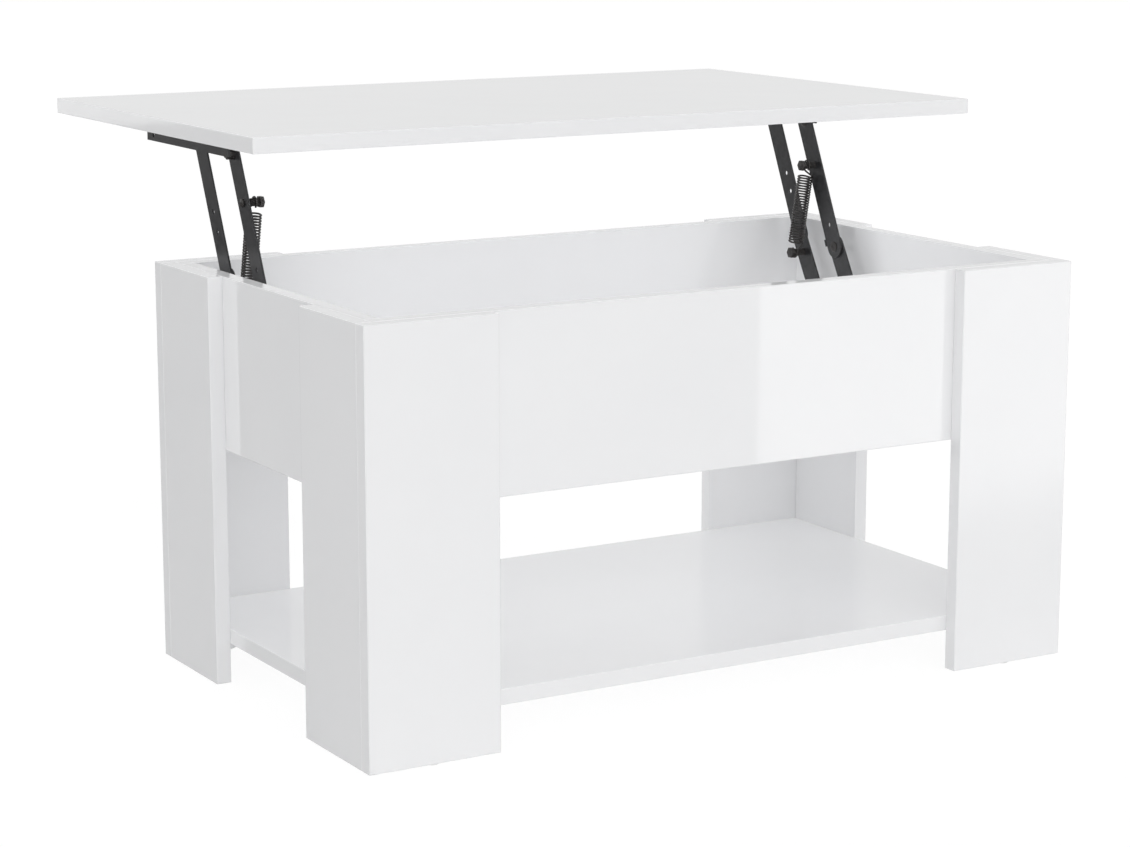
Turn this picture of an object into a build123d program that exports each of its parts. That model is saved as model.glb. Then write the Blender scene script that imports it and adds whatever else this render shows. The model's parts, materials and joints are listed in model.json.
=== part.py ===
from build123d import *

import os
from math import cos, hypot, radians, sin

# Lift top coffee table: a board-built box on four corner legs with a low shelf.
# The top swings up and towards the user on two spring-assisted pairs of parallel arms.
# X runs along the length, +Y points at the user, Z is up from the floor.
# The origin lies on the floor, under the middle of the body. The top is drawn raised.

# ---- Boards ----
BOARD = 19.0
BODY_LENGTH = 974.0
BODY_DEPTH = 572.0
BODY_HEIGHT = 502.5
LEG_FACE_WIDTH = 166.0
LEG_RETURN_WIDTH = 142.0
GLIDE_HEIGHT = 2.0
GLIDE_DIAMETER = 15.0
BOX_UNDERSIDE = 291.5
FLOOR_THICKNESS = 15.0
SHELF_UNDERSIDE = 50.5
SHELF_THICKNESS = 19.0
TOP_OVERHANG = 18.0
TOP_THICKNESS = 19.0
TOP_REST_GAP = 0.5
EDGE_EASE = 1.0

# ---- Lift linkage, in the Y-Z plane ----
ARM_LENGTH = 178.0
ARM_WIDTH = 30.0
OPEN_LEAN = 24.5
PIVOT_PITCH = 87.0
PIVOT_STEP = 7.0
FRONT_PIVOT_BELOW_RIM = 18.0
FRONT_PIVOT_BELOW_TOP = 18.5
FRONT_PIVOT_OFFSET = 26.0
EAR_LEAN = 29.6

# ---- Sheet metal and its layers, counted inwards from the box end panel ----
SHEET = 2.5
SLIDE_GAP = 0.5
HEAD_GAP = 2.5
FLANGE_FROM_WALL = 17.0
HANGER_START = -72.0
HANGER_END = 180.0
HANGER_DEPTH = 28.0
HANGER_FOOT = 30.0
HANGER_SLOT_FROM_END = 20.0
HANGER_SLOT_DIAMETER = 6.5
HANGER_SLOT_BELOW_TOP = 20.0
CHANNEL_ABOVE_FLOOR = 33.5
CHANNEL_HEIGHT = 52.0
CHANNEL_START = 50.0
CHANNEL_END = 175.0
WALL_PLATE_START = 25.0
WALL_PLATE_TO_LEG_SCREW = 24.4
STOP_LENGTH = 9.0
STOP_THICKNESS = 3.0
STOP_GAP = 0.3
STOP_FROM_PIVOT = 6.0

# ---- Pivots, bolts and springs ----
PIVOT_DIAMETER = 8.0
PIVOT_COLLAR = 13.0
PIVOT_HEAD = 14.0
PIVOT_HEAD_HEIGHT = 1.4
PIVOT_CLEARANCE = 0.08
PIVOT_HEAD_ROUND = 0.9
PIVOT_HEAD_GAP = 0.15
BEND_INSIDE = 1.0
SHEET_EASE = 0.4
SPRING_BOLT_DIAMETER = 10.0
SPRING_BOLT_LENGTH = 17.5
SPRING_BOLT_ACROSS = 13.0
SPRING_BOLT_HEAD_HEIGHT = 6.0
SPRING_BOLT_THREAD = 6.0
HEX_CORNERS = 1.16
SPRING_NUT_ACROSS = 10.0
SPRING_NUT_HEIGHT = 2.4
UPPER_BOLT_ON_ARM = 116.0
LOWER_BOLT_ON_EAR = 26.0
SPRING_DIAMETER = 21.0
SPRING_WIRE = 2.4
SPRING_PITCH = 3.6
SPRING_FROM_ARM = 12.5
HOOK_REACH = 14.5
HOOK_BEND = 5.0
HOOK_TURN = 220.0
HOOK_SINK = 0.4
FRONT_ARM_HOLES = (62.0, 88.0)
REAR_ARM_HOLES = (31.0,)
ARM_HOLE_DIAMETER = 6.5

# ---- Screws, dowels and cams ----
FIT = 0.05
SCREW_DIAMETER = 4.0
SCREW_HEAD = 8.0
SCREW_HEAD_HEIGHT = 2.4
HEAD_ROUND = 0.8
RECESS_WIDTH = 0.9
RECESS_SHARE = 0.55
RECESS_DEPTH = 1.5
SHORT_SCREW_LENGTH = 15.0
LEG_SCREW_LENGTH = 32.0
CORNER_SCREW_DIAMETER = 6.5
CORNER_SCREW_HEAD = 10.0
CORNER_SCREW_HEAD_HEIGHT = 3.0
CORNER_SCREW_LENGTH = 50.0
DOWEL_DIAMETER = 8.0
DOWEL_LENGTH = 30.0
DOWEL_IN_FACE = 11.0
CAM_DIAMETER = 15.0
CAM_HEIGHT = 12.5
CAM_SETBACK = 26.0
CAM_BOLT_DIAMETER = 6.0
CAM_BOLT_IN_LEG = 11.0
WALL_SCREW_INSET = 12.0
HANGER_SCREWS = 4
HANGER_SCREW_INSET = 6.0

# ---- Where fasteners sit, as shares of the height or width of their board ----
BOX_SCREW_SHARES = (0.2, 0.5, 0.8)
LEG_SCREW_SHARES = (0.25, 0.45)
FACE_SCREW_SHARE = 0.75
RETURN_SCREW_SHARE = 0.3
DOWEL_SHARES = (0.12, 0.4, 0.88)

# ---- Places worked out from the sizes above ----
HALF_LENGTH = BODY_LENGTH / 2
HALF_DEPTH = BODY_DEPTH / 2
BOX_HALF_LENGTH = HALF_LENGTH - BOARD
BOX_HALF_DEPTH = HALF_DEPTH - BOARD
INNER_HALF_LENGTH = BOX_HALF_LENGTH - BOARD
INNER_HALF_DEPTH = BOX_HALF_DEPTH - BOARD
CHANNEL_UNDERSIDE = BOX_UNDERSIDE + FLOOR_THICKNESS + CHANNEL_ABOVE_FLOOR

FRONT_LOW = Vector(0, FRONT_PIVOT_OFFSET + ARM_LENGTH, BODY_HEIGHT - FRONT_PIVOT_BELOW_RIM)
PIVOT_SHIFT = Vector(0, -PIVOT_PITCH, -PIVOT_STEP)
REAR_LOW = FRONT_LOW + PIVOT_SHIFT
ARM_VECTOR = Vector(0, sin(radians(OPEN_LEAN)), cos(radians(OPEN_LEAN)))
EAR_VECTOR = Vector(0, sin(radians(EAR_LEAN)), cos(radians(EAR_LEAN)))
FRONT_HIGH = FRONT_LOW + ARM_VECTOR * ARM_LENGTH
REAR_HIGH = REAR_LOW + ARM_VECTOR * ARM_LENGTH
TOP_UNDERSIDE = FRONT_HIGH.Z + FRONT_PIVOT_BELOW_TOP
TOP_CENTRE_Y = FRONT_HIGH.Y - FRONT_PIVOT_OFFSET
UPPER_BOLT = REAR_LOW + ARM_VECTOR * UPPER_BOLT_ON_ARM
LOWER_BOLT = FRONT_LOW - EAR_VECTOR * LOWER_BOLT_ON_EAR

FLANGE_X = INNER_HALF_LENGTH - FLANGE_FROM_WALL - SHEET
FRONT_ARM_X = FLANGE_X - HEAD_GAP - SHEET
EAR_X = FRONT_ARM_X - SLIDE_GAP - SHEET
REAR_ARM_X = EAR_X - SLIDE_GAP - SHEET
SPRING_X = REAR_ARM_X - SPRING_FROM_ARM
SPRING_LENGTH = hypot(UPPER_BOLT.Y - LOWER_BOLT.Y, UPPER_BOLT.Z - LOWER_BOLT.Z)

os.makedirs("parts", exist_ok=True)


def save(name, *solids):
    """Write one node; several solids stay separate pieces of the same kind."""
    shape = solids[0] if len(solids) == 1 else Compound(children=list(solids))
    shape.label = name
    export_step(shape, f"parts/{name}.step")


def block(x, y, z):
    """A box between three (low, high) pairs."""
    size = Box(x[1] - x[0], y[1] - y[0], z[1] - z[0])
    return Pos((x[0] + x[1]) / 2, (y[0] + y[1]) / 2, (z[0] + z[1]) / 2) * size


def rod(start, direction, length, diameter):
    """A cylinder that starts at a point and runs along a direction."""
    place = Plane(origin=start, z_dir=direction)
    low = (Align.CENTER, Align.CENTER, Align.MIN)
    return place * Cylinder(diameter / 2, length, align=low)


def mirrored(shape):
    """The left-hand copy of a right-hand piece."""
    return mirror(shape, about=Plane.YZ)


def board(x, y, z):
    """A lacquered board with eased edges."""
    panel = block(x, y, z)
    return fillet(panel.edges(), EDGE_EASE)


def cross_recess(point, direction, across):
    """The cutter of a cross recess, as deep as a driver's tip."""
    plane = Plane(origin=point, z_dir=direction)
    cross = Rectangle(across, RECESS_WIDTH) + Rectangle(RECESS_WIDTH, across)
    return extrude(plane * cross, RECESS_DEPTH)


def headed(start, direction, length, diameter, head, head_height):
    """A screw from the face under its head; the head stands behind the start."""
    shaft = rod(start, direction, length, diameter)
    crown = start - direction * head_height
    cap = rod(crown, direction, head_height, head)
    outer = cap.edges().sort_by(lambda edge: (edge.center() - crown).length)[0]
    cap = fillet(outer, HEAD_ROUND) - cross_recess(crown, direction, head * RECESS_SHARE)
    return shaft + cap


def bored(panel, screws, diameter, length, head=0.0, head_height=0.0):
    """Drill a panel for screws given as (start, direction) pairs."""
    for start, direction in screws:
        panel -= rod(start, direction, length + FIT, diameter + 2 * FIT)
        if head:
            panel -= rod(start - direction * head_height, direction, head_height, head + 2 * FIT)
    return panel


CORNERS = [(sx, sy) for sx in (-1, 1) for sy in (-1, 1)]

# ---- Where the fasteners sit ----
PANEL_HEIGHT = BODY_HEIGHT - BOX_UNDERSIDE
BOX_SCREW_LEVELS = [BOX_UNDERSIDE + PANEL_HEIGHT * share for share in BOX_SCREW_SHARES]
LEG_SCREW_LEVELS = [BOX_UNDERSIDE + PANEL_HEIGHT * share for share in LEG_SCREW_SHARES]
FACE_SCREW_X = HALF_LENGTH - LEG_FACE_WIDTH * FACE_SCREW_SHARE
RETURN_SCREW_Y = BOX_HALF_DEPTH - LEG_RETURN_WIDTH * RETURN_SCREW_SHARE
WALL_PLATE_END = RETURN_SCREW_Y - WALL_PLATE_TO_LEG_SCREW
DOWEL_LEVELS = [BODY_HEIGHT * share for share in DOWEL_SHARES]
FLOOR_SCREW_Z = BOX_UNDERSIDE + FLOOR_THICKNESS / 2
SHELF_MIDDLE = SHELF_UNDERSIDE + SHELF_THICKNESS / 2

corner_screws = []
for sx, sy in CORNERS:
    for level in BOX_SCREW_LEVELS:
        seat = Vector(sx * (BOX_HALF_LENGTH - BOARD / 2), sy * BOX_HALF_DEPTH, level)
        inward = Vector(0, -sy, 0)
        corner_screws.append((seat + inward * CORNER_SCREW_HEAD_HEIGHT, inward))

floor_screws = []
for sx, sy in CORNERS:
    inward = Vector(0, -sy, 0)
    seat = Vector(sx * FACE_SCREW_X, sy * BOX_HALF_DEPTH, FLOOR_SCREW_Z)
    floor_screws.append((seat + inward * CORNER_SCREW_HEAD_HEIGHT, inward))
    inward = Vector(-sx, 0, 0)
    seat = Vector(sx * BOX_HALF_LENGTH, sy * RETURN_SCREW_Y, FLOOR_SCREW_Z)
    floor_screws.append((seat + inward * CORNER_SCREW_HEAD_HEIGHT, inward))

face_screws = []
return_screws = []
for sx, sy in CORNERS:
    for level in LEG_SCREW_LEVELS:
        seat = Vector(sx * FACE_SCREW_X, sy * INNER_HALF_DEPTH, level)
        face_screws.append((seat, Vector(0, sy, 0)))
        seat = Vector(sx * INNER_HALF_LENGTH, sy * RETURN_SCREW_Y, level)
        return_screws.append((seat, Vector(sx, 0, 0)))

leg_dowels = []
for sx, sy in CORNERS:
    for level in DOWEL_LEVELS:
        start = Vector(sx * (HALF_LENGTH - BOARD / 2), sy * (BOX_HALF_DEPTH + DOWEL_IN_FACE), level)
        leg_dowels.append((start, Vector(0, -sy, 0)))

shelf_dowels = []
cam_bolts = []
for sx, sy in CORNERS:
    start = Vector(sx * (BOX_HALF_LENGTH + DOWEL_IN_FACE), sy * RETURN_SCREW_Y, SHELF_MIDDLE)
    shelf_dowels.append((start, Vector(-sx, 0, 0)))
    start = Vector(sx * FACE_SCREW_X, sy * (BOX_HALF_DEPTH + CAM_BOLT_IN_LEG), SHELF_MIDDLE)
    cam_bolts.append((start, Vector(0, -sy, 0)))
CAM_BOLT_LENGTH = CAM_BOLT_IN_LEG + CAM_SETBACK - CAM_DIAMETER / 2

# ---- Storage box: long panels cover the ends of the short ones ----
BOX_Z = (BOX_UNDERSIDE, BODY_HEIGHT)
for sy, name in ((-1, "box_back_panel"), (1, "box_front_panel")):
    faces = sorted((sy * INNER_HALF_DEPTH, sy * BOX_HALF_DEPTH))
    panel = board((-BOX_HALF_LENGTH, BOX_HALF_LENGTH), faces, BOX_Z)
    mine = [s for s in corner_screws + floor_screws if s[1].Y == -sy]
    panel = bored(panel, mine, CORNER_SCREW_DIAMETER, BOARD, CORNER_SCREW_HEAD, CORNER_SCREW_HEAD_HEIGHT)
    legs = [s for s in face_screws if s[1].Y == sy]
    save(name, bored(panel, legs, SCREW_DIAMETER, BOARD))

# Bracket screws go into the end panels; the right-hand set is mirrored for the left.
wall_screws = []
for y in (WALL_PLATE_START + WALL_SCREW_INSET, WALL_PLATE_END - WALL_SCREW_INSET):
    for z in (CHANNEL_UNDERSIDE + WALL_SCREW_INSET, CHANNEL_UNDERSIDE + CHANNEL_HEIGHT - WALL_SCREW_INSET):
        wall_screws.append((Vector(INNER_HALF_LENGTH - SHEET, y, z), Vector(1, 0, 0)))

right_end = board((INNER_HALF_LENGTH, BOX_HALF_LENGTH), (-INNER_HALF_DEPTH, INNER_HALF_DEPTH), BOX_Z)
mine = [s for s in corner_screws if s[0].X > 0]
right_end = bored(right_end, mine, CORNER_SCREW_DIAMETER, CORNER_SCREW_LENGTH)
mine = [s for s in floor_screws if s[1].X == -1]
right_end = bored(
    right_end, mine, CORNER_SCREW_DIAMETER, BOARD, CORNER_SCREW_HEAD, CORNER_SCREW_HEAD_HEIGHT
)
mine = [s for s in return_screws if s[1].X == 1]
right_end = bored(right_end, mine, SCREW_DIAMETER, BOARD)
right_end = bored(right_end, wall_screws, SCREW_DIAMETER, SHORT_SCREW_LENGTH)
save("box_right_panel", right_end)
save("box_left_panel", mirrored(right_end))

box_floor = board(
    (-INNER_HALF_LENGTH, INNER_HALF_LENGTH),
    (-INNER_HALF_DEPTH, INNER_HALF_DEPTH),
    (BOX_UNDERSIDE, BOX_UNDERSIDE + FLOOR_THICKNESS),
)
save("box_floor", bored(box_floor, floor_screws, CORNER_SCREW_DIAMETER, CORNER_SCREW_LENGTH))

# ---- Lower shelf, drawn up to the legs by cams in its underside ----
shelf = board(
    (-BOX_HALF_LENGTH, BOX_HALF_LENGTH),
    (-BOX_HALF_DEPTH, BOX_HALF_DEPTH),
    (SHELF_UNDERSIDE, SHELF_UNDERSIDE + SHELF_THICKNESS),
)
shelf = bored(shelf, shelf_dowels, DOWEL_DIAMETER, DOWEL_LENGTH)
shelf = bored(shelf, cam_bolts, CAM_BOLT_DIAMETER, CAM_BOLT_LENGTH + FIT)
cams = []
for start, direction in cam_bolts:
    middle = start + direction * (CAM_BOLT_IN_LEG + CAM_SETBACK)
    foot = Vector(middle.X, middle.Y, SHELF_UNDERSIDE)
    cams.append(rod(foot, Vector(0, 0, 1), CAM_HEIGHT, CAM_DIAMETER))
    shelf -= rod(foot, Vector(0, 0, 1), CAM_HEIGHT + FIT, CAM_DIAMETER + 2 * FIT)
save("lower_shelf", shelf)
save("shelf_cams", *cams)
save("shelf_cam_bolts", *[rod(s, d, CAM_BOLT_LENGTH, CAM_BOLT_DIAMETER) for s, d in cam_bolts])
save("shelf_dowels", *[rod(s, d, DOWEL_LENGTH, DOWEL_DIAMETER) for s, d in shelf_dowels])

# ---- Legs: a wide face board covers the edge of a return board ----
LEG_Z = (GLIDE_HEIGHT, BODY_HEIGHT)
glides = []
for sx, sy in CORNERS:
    place = ("back" if sy < 0 else "front") + "_" + ("left" if sx < 0 else "right")
    across = sorted((sx * (HALF_LENGTH - LEG_FACE_WIDTH), sx * HALF_LENGTH))
    face = board(across, sorted((sy * BOX_HALF_DEPTH, sy * HALF_DEPTH)), LEG_Z)
    side = board(
        sorted((sx * BOX_HALF_LENGTH, sx * HALF_LENGTH)),
        sorted((sy * (BOX_HALF_DEPTH - LEG_RETURN_WIDTH), sy * BOX_HALF_DEPTH)),
        LEG_Z,
    )
    mine = [s for s in leg_dowels if s[0].X * sx > 0 and s[0].Y * sy > 0]
    face = bored(face, mine, DOWEL_DIAMETER, DOWEL_LENGTH)
    side = bored(side, mine, DOWEL_DIAMETER, DOWEL_LENGTH)
    mine = [s for s in face_screws if s[0].X * sx > 0 and s[1].Y == sy]
    face = bored(face, mine, SCREW_DIAMETER, LEG_SCREW_LENGTH)
    mine = [s for s in return_screws if s[1].X == sx and s[0].Y * sy > 0]
    side = bored(side, mine, SCREW_DIAMETER, LEG_SCREW_LENGTH)
    mine = [s for s in cam_bolts if s[0].X * sx > 0 and s[0].Y * sy > 0]
    face = bored(face, mine, CAM_BOLT_DIAMETER, CAM_BOLT_LENGTH)
    mine = [s for s in shelf_dowels if s[0].X * sx > 0 and s[0].Y * sy > 0]
    side = bored(side, mine, DOWEL_DIAMETER, DOWEL_LENGTH)
    save(f"{place}_leg_face", face)
    save(f"{place}_leg_return", side)
    face_middle = Vector(sx * (HALF_LENGTH - LEG_FACE_WIDTH / 2), sy * (HALF_DEPTH - BOARD / 2), 0)
    side_middle = Vector(sx * (HALF_LENGTH - BOARD / 2), sy * (BOX_HALF_DEPTH - LEG_RETURN_WIDTH / 2), 0)
    for middle in (face_middle, side_middle):
        glides.append(rod(middle, Vector(0, 0, 1), GLIDE_HEIGHT, GLIDE_DIAMETER))
save("foot_glides", *glides)


def fasten(name, places, length, diameter, head, head_height):
    """One node of identical screws."""
    save(name, *[headed(s, d, length, diameter, head, head_height) for s, d in places])


fasten("box_corner_screws", corner_screws, CORNER_SCREW_LENGTH, CORNER_SCREW_DIAMETER,
       CORNER_SCREW_HEAD, CORNER_SCREW_HEAD_HEIGHT)
fasten("box_floor_screws", floor_screws, CORNER_SCREW_LENGTH, CORNER_SCREW_DIAMETER,
       CORNER_SCREW_HEAD, CORNER_SCREW_HEAD_HEIGHT)
fasten("leg_screws", face_screws + return_screws, LEG_SCREW_LENGTH, SCREW_DIAMETER,
       SCREW_HEAD, SCREW_HEAD_HEIGHT)
save("leg_dowels", *[rod(s, d, DOWEL_LENGTH, DOWEL_DIAMETER) for s, d in leg_dowels])

# ---- Lower bracket: a channel on the end panel with two leaning ears ----
INWARD = Vector(-1, 0, 0)
OUTWARD = Vector(1, 0, 0)
CHANNEL_TOP = CHANNEL_UNDERSIDE + CHANNEL_HEIGHT


def bar(low, high, x, width):
    """A flat bar with round ends between two points of the Y-Z plane."""
    run = high - low
    plane = Plane(origin=(x, low.Y, low.Z), x_dir=run, z_dir=OUTWARD)
    sketch = Pos(run.length / 2, 0) * SlotCenterToCenter(run.length, width)
    return extrude(plane * sketch, SHEET)


def bend(angle, x, z, inside_x, inside_z):
    """Round the outer and the inner edge of a sheet's right-angle bend that runs along Y."""
    outer = angle.edges().filter_by(Axis.Y).sort_by(lambda e: hypot(e.center().X - x, e.center().Z - z))
    angle = fillet(outer[0], BEND_INSIDE + SHEET)
    inner_x, inner_z = x + inside_x * SHEET, z + inside_z * SHEET
    inner = angle.edges().filter_by(Axis.Y).sort_by(
        lambda e: hypot(e.center().X - inner_x, e.center().Z - inner_z)
    )
    return fillet(inner[0], BEND_INSIDE)


def through(point, x, diameter):
    """A cutter across one sheet."""
    return rod(Vector(x, point.Y, point.Z), OUTWARD, SHEET, diameter)


channel = block((EAR_X, EAR_X + SHEET), (CHANNEL_START, CHANNEL_END), (CHANNEL_UNDERSIDE, CHANNEL_TOP))
channel += block(
    (EAR_X, INNER_HALF_LENGTH),
    (CHANNEL_START, CHANNEL_END),
    (CHANNEL_UNDERSIDE, CHANNEL_UNDERSIDE + SHEET),
)
channel += block(
    (INNER_HALF_LENGTH - SHEET, INNER_HALF_LENGTH),
    (WALL_PLATE_START, WALL_PLATE_END),
    (CHANNEL_UNDERSIDE, CHANNEL_TOP),
)
channel = bend(channel, EAR_X, CHANNEL_UNDERSIDE, 1, 1)
for pivot in (FRONT_LOW, REAR_LOW):
    drop = (pivot.Z - CHANNEL_TOP + ARM_WIDTH / 2) / EAR_VECTOR.Z
    channel += bar(pivot - EAR_VECTOR * drop, pivot, EAR_X, ARM_WIDTH)
    channel -= through(pivot, EAR_X, PIVOT_DIAMETER)
channel -= through(LOWER_BOLT, EAR_X, SPRING_BOLT_THREAD + 2 * FIT)

# A lug bent out of the rear ear stops the rear arm when the top is fully raised.
# Along the arm is the plane's X, and the user's side is its minus Y.
lug_foot = REAR_LOW + ARM_VECTOR * STOP_FROM_PIVOT
lug_plane = Plane(origin=(REAR_ARM_X, lug_foot.Y, lug_foot.Z), x_dir=ARM_VECTOR, z_dir=OUTWARD)
lug_middle = -(ARM_WIDTH / 2 + STOP_GAP + STOP_THICKNESS / 2)
lug = Pos(STOP_LENGTH / 2, lug_middle) * Rectangle(STOP_LENGTH, STOP_THICKNESS)
channel += extrude(lug_plane * lug, EAR_X + SHEET - REAR_ARM_X)
neck_plane = Plane(origin=(EAR_X, lug_foot.Y, lug_foot.Z), x_dir=ARM_VECTOR, z_dir=OUTWARD)
neck_width = 2 * (STOP_GAP + STOP_THICKNESS)
neck = Pos(STOP_LENGTH / 2, -ARM_WIDTH / 2) * Rectangle(STOP_LENGTH, neck_width)
channel += extrude(neck_plane * neck, SHEET)
for start, direction in wall_screws:
    channel -= rod(start, direction, SHEET, SCREW_DIAMETER + 2 * FIT)
save("lower_bracket_right", channel)
save("lower_bracket_left", mirrored(channel))

# ---- Hanger: an angle under the top that carries the upper pivots ----
HANGER_Y = (TOP_CENTRE_Y + HANGER_START, TOP_CENTRE_Y + HANGER_END)
hanger = block((FLANGE_X, FLANGE_X + SHEET), HANGER_Y, (TOP_UNDERSIDE - HANGER_DEPTH, TOP_UNDERSIDE))
hanger += block(
    (FLANGE_X + SHEET - HANGER_FOOT, FLANGE_X + SHEET),
    HANGER_Y,
    (TOP_UNDERSIDE - SHEET, TOP_UNDERSIDE),
)
hanger = bend(hanger, FLANGE_X + SHEET, TOP_UNDERSIDE, -1, -1)
for pivot in (FRONT_HIGH, REAR_HIGH):
    hanger -= through(pivot, FLANGE_X, PIVOT_DIAMETER)
slot = Vector(0, HANGER_Y[1] - HANGER_SLOT_FROM_END, TOP_UNDERSIDE - HANGER_SLOT_BELOW_TOP)
hanger -= through(slot, FLANGE_X, HANGER_SLOT_DIAMETER)
hanger_screws = []
HANGER_SCREW_X = FLANGE_X + SHEET - HANGER_FOOT + HANGER_SCREW_INSET
for index in range(HANGER_SCREWS):
    share = (index + 0.5) / HANGER_SCREWS
    y = HANGER_Y[0] + (HANGER_Y[1] - HANGER_Y[0]) * share
    hanger_screws.append((Vector(HANGER_SCREW_X, y, TOP_UNDERSIDE - SHEET), Vector(0, 0, 1)))
hanger = bored(hanger, hanger_screws, SCREW_DIAMETER, SHEET)
save("top_hanger_right", hanger)
save("top_hanger_left", mirrored(hanger))

# ---- Top ----
top = board(
    (-HALF_LENGTH - TOP_OVERHANG, HALF_LENGTH + TOP_OVERHANG),
    (TOP_CENTRE_Y - HALF_DEPTH - TOP_OVERHANG, TOP_CENTRE_Y + HALF_DEPTH + TOP_OVERHANG),
    (TOP_UNDERSIDE, TOP_UNDERSIDE + TOP_THICKNESS),
)
both_sides = hanger_screws + [(Vector(-s.X, s.Y, s.Z), d) for s, d in hanger_screws]
save("table_top", bored(top, both_sides, SCREW_DIAMETER, SHORT_SCREW_LENGTH))
fasten("hanger_screws", both_sides, SHORT_SCREW_LENGTH, SCREW_DIAMETER, SCREW_HEAD, SCREW_HEAD_HEIGHT)
both_sides = wall_screws + [(Vector(-s.X, s.Y, s.Z), d * -1) for s, d in wall_screws]
fasten("bracket_screws", both_sides, SHORT_SCREW_LENGTH, SCREW_DIAMETER, SCREW_HEAD, SCREW_HEAD_HEIGHT)


# ---- Arms ----
def arm(low, x, holes):
    """A flat arm from its lower pivot, with spare holes at distances from it."""
    plate = bar(low, low + ARM_VECTOR * ARM_LENGTH, x, ARM_WIDTH)
    rims = plate.faces().filter_by(Axis.X).edges()
    plate = fillet(rims, SHEET_EASE)
    for pivot in (low, low + ARM_VECTOR * ARM_LENGTH):
        plate -= through(pivot, x, PIVOT_DIAMETER + 2 * PIVOT_CLEARANCE)
    for distance in holes:
        plate -= through(low + ARM_VECTOR * distance, x, ARM_HOLE_DIAMETER)
    return plate


front_arm = arm(FRONT_LOW, FRONT_ARM_X, FRONT_ARM_HOLES)
rear_arm = arm(REAR_LOW, REAR_ARM_X, REAR_ARM_HOLES)
rear_arm -= through(UPPER_BOLT, REAR_ARM_X, SPRING_BOLT_THREAD + 2 * FIT)
save("front_arm_right", front_arm)
save("front_arm_left", mirrored(front_arm))
save("rear_arm_right", rear_arm)
save("rear_arm_left", mirrored(rear_arm))

# ---- Pivot pins ----
def pin(point, start, reach, direction):
    """A plain pin from one plate, across its neighbour, to a flat head."""
    origin = Vector(start, point.Y, point.Z)
    stem = rod(origin, direction, reach, PIVOT_DIAMETER)
    seat = origin + direction * reach
    head = rod(seat, direction, PIVOT_HEAD_HEIGHT, PIVOT_HEAD)
    crown = head.edges().sort_by(lambda edge: (edge.center() - seat).length)[-1]
    return stem + fillet(crown, PIVOT_HEAD_ROUND)


ear_outer = EAR_X + SHEET
front_low_pin = pin(FRONT_LOW, EAR_X, SHEET + SLIDE_GAP + SHEET + PIVOT_HEAD_GAP, OUTWARD)
rear_low_pin = pin(REAR_LOW, ear_outer, SHEET + SLIDE_GAP + SHEET + PIVOT_HEAD_GAP, INWARD)
flange_outer = FLANGE_X + SHEET
front_high_pin = pin(FRONT_HIGH, flange_outer, SHEET + HEAD_GAP + SHEET + PIVOT_HEAD_GAP, INWARD)
front_high_pin += rod(
    Vector(FLANGE_X, FRONT_HIGH.Y, FRONT_HIGH.Z), INWARD, HEAD_GAP - PIVOT_HEAD_GAP, PIVOT_COLLAR
)
rear_reach = flange_outer - REAR_ARM_X + PIVOT_HEAD_GAP
rear_high_pin = pin(REAR_HIGH, flange_outer, rear_reach, INWARD)
rear_collar = FLANGE_X - REAR_ARM_X - SHEET - PIVOT_HEAD_GAP
rear_high_pin += rod(Vector(FLANGE_X, REAR_HIGH.Y, REAR_HIGH.Z), INWARD, rear_collar, PIVOT_COLLAR)
save("front_lower_pins", front_low_pin, mirrored(front_low_pin))
save("rear_lower_pins", rear_low_pin, mirrored(rear_low_pin))
save("front_upper_pins", front_high_pin, mirrored(front_high_pin))
save("rear_upper_pins", rear_high_pin, mirrored(rear_high_pin))


# ---- Spring bolts and their nuts ----
def spring_bolt(point, seat, grip):
    """A shouldered bolt that points into the box, with a thread through its plate."""
    origin = Vector(seat, point.Y, point.Z)
    shoulder = rod(origin, INWARD, SPRING_BOLT_LENGTH, SPRING_BOLT_DIAMETER)
    tip = origin + INWARD * SPRING_BOLT_LENGTH
    hexagon = RegularPolygon(SPRING_BOLT_ACROSS / 2, 6, major_radius=False)
    head = extrude(Plane(origin=tip, z_dir=INWARD) * hexagon, SPRING_BOLT_HEAD_HEIGHT)
    turned = rod(tip, INWARD, SPRING_BOLT_HEAD_HEIGHT, SPRING_BOLT_ACROSS * HEX_CORNERS)
    rims = turned.edges().filter_by(GeomType.CIRCLE)
    head = head & chamfer(rims, HEAD_ROUND)
    thread = rod(origin, OUTWARD, grip, SPRING_BOLT_THREAD)
    return shoulder + head + thread


def spring_nut(point, seat):
    """A thin hexagon nut behind the plate."""
    plane = Plane(origin=(seat, point.Y, point.Z), z_dir=OUTWARD)
    hexagon = RegularPolygon(SPRING_NUT_ACROSS / 2, 6, major_radius=False)
    nut = extrude(plane * hexagon, SPRING_NUT_HEIGHT)
    hole = SPRING_BOLT_THREAD + 2 * FIT
    return nut - rod(Vector(seat, point.Y, point.Z), OUTWARD, SPRING_NUT_HEIGHT, hole)


grip = SHEET + SPRING_NUT_HEIGHT
upper_bolt = spring_bolt(UPPER_BOLT, REAR_ARM_X, grip)
upper_nut = spring_nut(UPPER_BOLT, REAR_ARM_X + SHEET)
save("upper_spring_bolt_right", upper_bolt)
save("upper_spring_bolt_left", mirrored(upper_bolt))
save("upper_spring_nut_right", upper_nut)
save("upper_spring_nut_left", mirrored(upper_nut))
lower_bolt = spring_bolt(LOWER_BOLT, EAR_X, grip)
lower_nut = spring_nut(LOWER_BOLT, ear_outer)
save("lower_spring_bolts", lower_bolt, mirrored(lower_bolt))
save("lower_spring_nuts", lower_nut, mirrored(lower_nut))


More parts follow.
